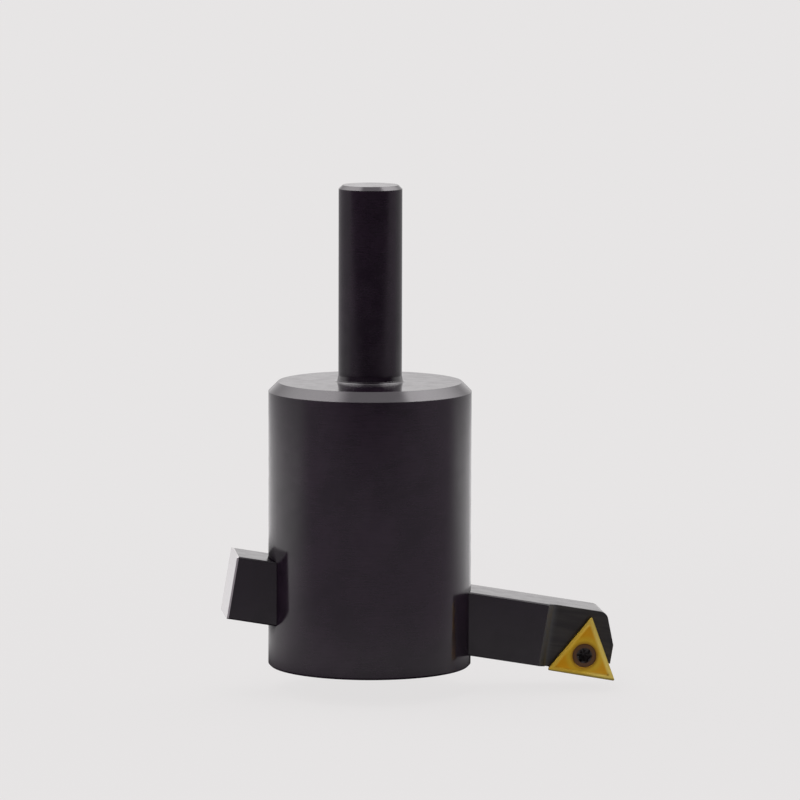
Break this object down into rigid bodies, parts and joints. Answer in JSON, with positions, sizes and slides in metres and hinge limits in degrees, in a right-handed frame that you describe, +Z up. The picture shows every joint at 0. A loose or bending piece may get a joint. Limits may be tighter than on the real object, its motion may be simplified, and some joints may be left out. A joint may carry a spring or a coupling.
{
  "type": "fly cutter",
  "caption": "Fly cutter for face milling: a cylindrical head with a straight shank, and a sloping square tool bar that carries a screwed-on triangular insert.",
  "frame": {"origin": "on the shank's axis, at the top of the collar at the shank's foot", "axes": "+Z up the shank, +X towards the cutting end of the bar, and the insert's rake face looks along -Y"},
  "size_m": [0.0616, 0.032, 0.0784],
  "materials": {
    "head_steel": "black oxide, semi-gloss",
    "bar_steel": "black oxide, semi-gloss",
    "insert_coating": "gold titanium nitride coating, satin",
    "screw_steel": "black oxide, satin"
  },
  "bodies": {
    "holder": {"head": "head_steel", "set_screw_tail_side": "screw_steel", "set_screw_nose_side": "screw_steel"},
    "cutter": {"tool_bar": "bar_steel", "insert": "insert_coating", "insert_screw": "screw_steel"}
  },
  "joints": [
    {"name": "bar_slide", "type": "slide", "parent": "holder", "child": "cutter", "axis": [0.9863, 0, -0.165], "range_m": [-0.01, 0.01]}
  ]
}
